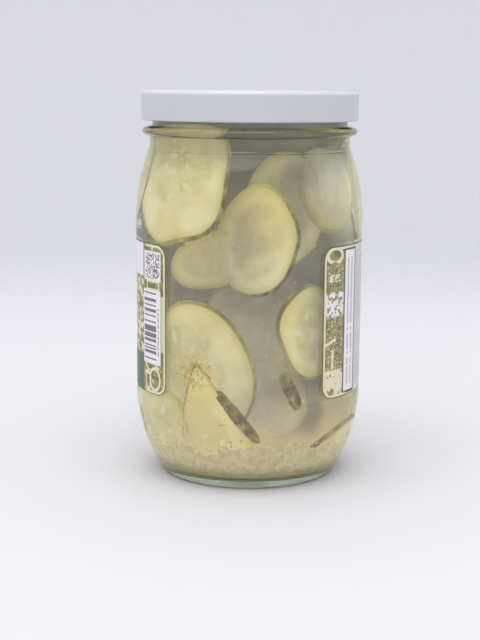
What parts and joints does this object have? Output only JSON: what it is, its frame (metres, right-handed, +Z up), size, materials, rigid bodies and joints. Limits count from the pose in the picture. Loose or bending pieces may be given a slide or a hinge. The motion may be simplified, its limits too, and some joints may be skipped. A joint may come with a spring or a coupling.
{
  "type": "pickle jar",
  "caption": "Clear round glass jar of pickled cucumber slices in cloudy brine, with a white twist-off lid and a wrap-around label that leaves a bare window.",
  "frame": {"origin": "middle of the flat ring that the jar stands on, on its axis", "axes": "+Z up along the jar's axis, -Y towards the bare window between the label's two ends, +X to the right of someone who faces that window"},
  "size_m": [0.096, 0.096, 0.162],
  "materials": {
    "clear_glass": "clear pressed glass with a faint green tint",
    "white_lid": "smooth white enamel on thin steel",
    "sealing_ring": "matte off-white sealing compound",
    "label_film": "satin printed film in cream, olive green and dark green fields",
    "brine_and_pickles": "pale yellow-green cucumber slices in cloudy grey brine"
  },
  "bodies": {
    "root": {"jar": "clear_glass", "lid": "white_lid", "seal": "sealing_ring", "label": "label_film", "contents": "brine_and_pickles"}
  },
  "joints": []
}
